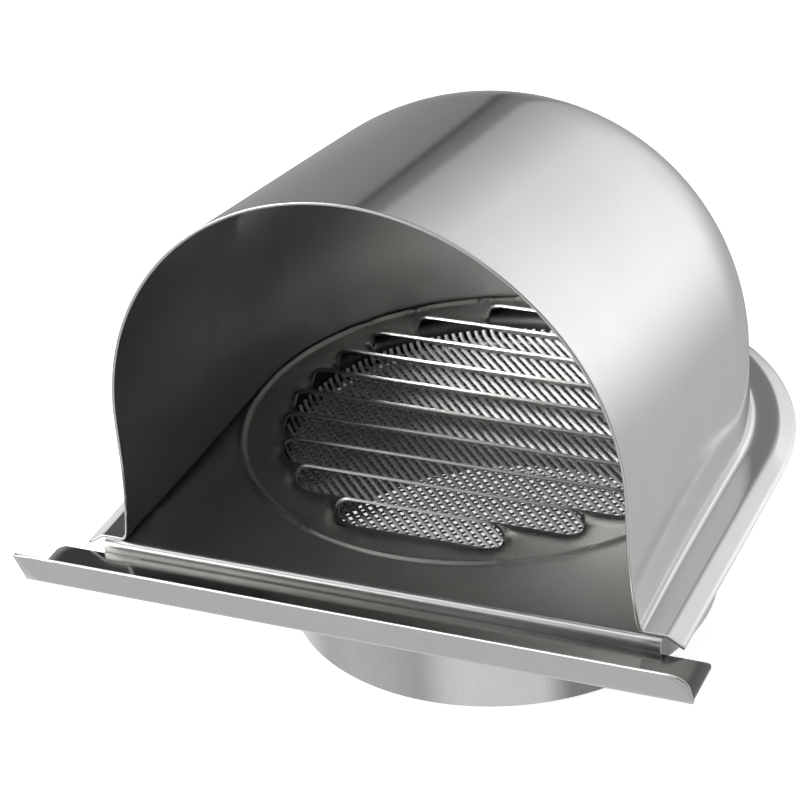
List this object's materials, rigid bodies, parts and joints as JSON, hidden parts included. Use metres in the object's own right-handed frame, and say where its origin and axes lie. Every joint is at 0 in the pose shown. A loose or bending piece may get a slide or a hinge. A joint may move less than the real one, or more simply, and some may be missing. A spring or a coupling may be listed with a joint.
{
  "type": "wall cowl vent",
  "caption": "Stainless wall vent: drawn round hood over a louvred plate with insect mesh, a spigot for a round duct and a bent drip strip.",
  "frame": {"origin": "on the spigot axis, in the plane of the wall that the drip strip's leg lies on", "axes": "+Z along the spigot axis, out of the wall and into the hood; -Y the way the hood's mouth faces, down when fitted; +X to the right seen from the mouth"},
  "size_m": [0.1424, 0.1483, 0.1256],
  "materials": {
    "polished_sheet": "satin polished stainless sheet",
    "plate_sheet": "fine brushed stainless sheet",
    "wire": "drawn stainless wire",
    "weld": "dull weld"
  },
  "bodies": {
    "root": {"hood": "polished_sheet", "louvred_plate": "plate_sheet", "rim_spot_welds": "weld", "spigot": "polished_sheet", "spigot_spot_welds": "weld", "mesh_warp_wires": "wire", "mesh_weft_wires": "wire", "mesh_hoop": "polished_sheet", "drip_strip": "polished_sheet", "drip_stitch_welds": "weld"}
  },
  "joints": []
}
